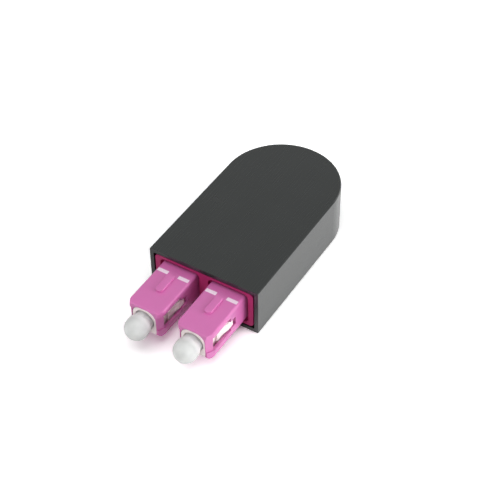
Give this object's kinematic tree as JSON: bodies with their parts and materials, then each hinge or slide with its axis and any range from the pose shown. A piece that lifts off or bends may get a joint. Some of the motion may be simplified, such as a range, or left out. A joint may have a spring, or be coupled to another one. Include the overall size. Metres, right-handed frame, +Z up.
{
  "type": "fibre loopback plug",
  "caption": "Duplex fibre loopback plug: a flat black housing with a half-round back, and push-pull connectors with dust caps at its open front.",
  "frame": {"origin": "centre of the housing's flat underside, midway between its front face and its crown", "axes": "+X across the two connectors, -Y the way they plug in, +Z up, key ridges on top"},
  "size_m": [0.0284, 0.0683, 0.0126],
  "materials": {
    "housing_black": "satin black moulded plastic with a fine grain",
    "clip_magenta": "magenta moulded plastic",
    "grip_magenta": "magenta-pink moulded plastic, softly glossy",
    "plug_cream": "cream-white moulded plastic",
    "zirconia": "polished white ceramic",
    "flange_steel": "turned metal",
    "tube_white": "translucent white tube",
    "spring_steel": "drawn spring wire",
    "stop_ring_metal": "nickel-plated, knurled post",
    "boot_rubber": "soft magenta boot",
    "cap_milky": "milky translucent soft plastic",
    "fibre_jacket": "tight-buffered fibre, smooth jacket"
  },
  "bodies": {
    "module": {"housing": "housing_black", "duplex_clip": "clip_magenta", "left_grip": "grip_magenta", "right_grip": "grip_magenta", "fibre_loop": "fibre_jacket"},
    "left_plug": {"left_plug_frame": "plug_cream", "left_stop_ring": "stop_ring_metal", "left_boot": "boot_rubber", "left_spring": "spring_steel"},
    "left_ferrule_unit": {"left_ferrule": "zirconia", "left_flange": "flange_steel", "left_guide_tube": "tube_white"},
    "left_cap": {"left_dust_cap": "cap_milky"},
    "right_plug": {"right_plug_frame": "plug_cream", "right_stop_ring": "stop_ring_metal", "right_boot": "boot_rubber", "right_spring": "spring_steel"},
    "right_ferrule_unit": {"right_ferrule": "zirconia", "right_flange": "flange_steel", "right_guide_tube": "tube_white"},
    "right_cap": {"right_dust_cap": "cap_milky"}
  },
  "joints": [
    {"name": "left_float", "type": "slide", "parent": "module", "child": "left_plug", "axis": [0, -1, 0], "range_m": [-0.0005, 0.0015]},
    {"name": "left_ferrule_push", "type": "slide", "parent": "left_plug", "child": "left_ferrule_unit", "axis": [0, 1, 0], "range_m": [0, 0.0012], "stiffness_N_per_m": 2500, "deforming": ["left_spring"]},
    {"name": "left_cap_pull", "type": "slide", "parent": "left_plug", "child": "left_cap", "axis": [0, -1, 0], "range_m": [0, 0.012]},
    {"name": "right_float", "type": "slide", "parent": "module", "child": "right_plug", "axis": [0, -1, 0], "range_m": [-0.0005, 0.0015]},
    {"name": "right_ferrule_push", "type": "slide", "parent": "right_plug", "child": "right_ferrule_unit", "axis": [0, 1, 0], "range_m": [0, 0.0012], "stiffness_N_per_m": 2500, "deforming": ["right_spring"]},
    {"name": "right_cap_pull", "type": "slide", "parent": "right_plug", "child": "right_cap", "axis": [0, -1, 0], "range_m": [0, 0.012]}
  ]
}
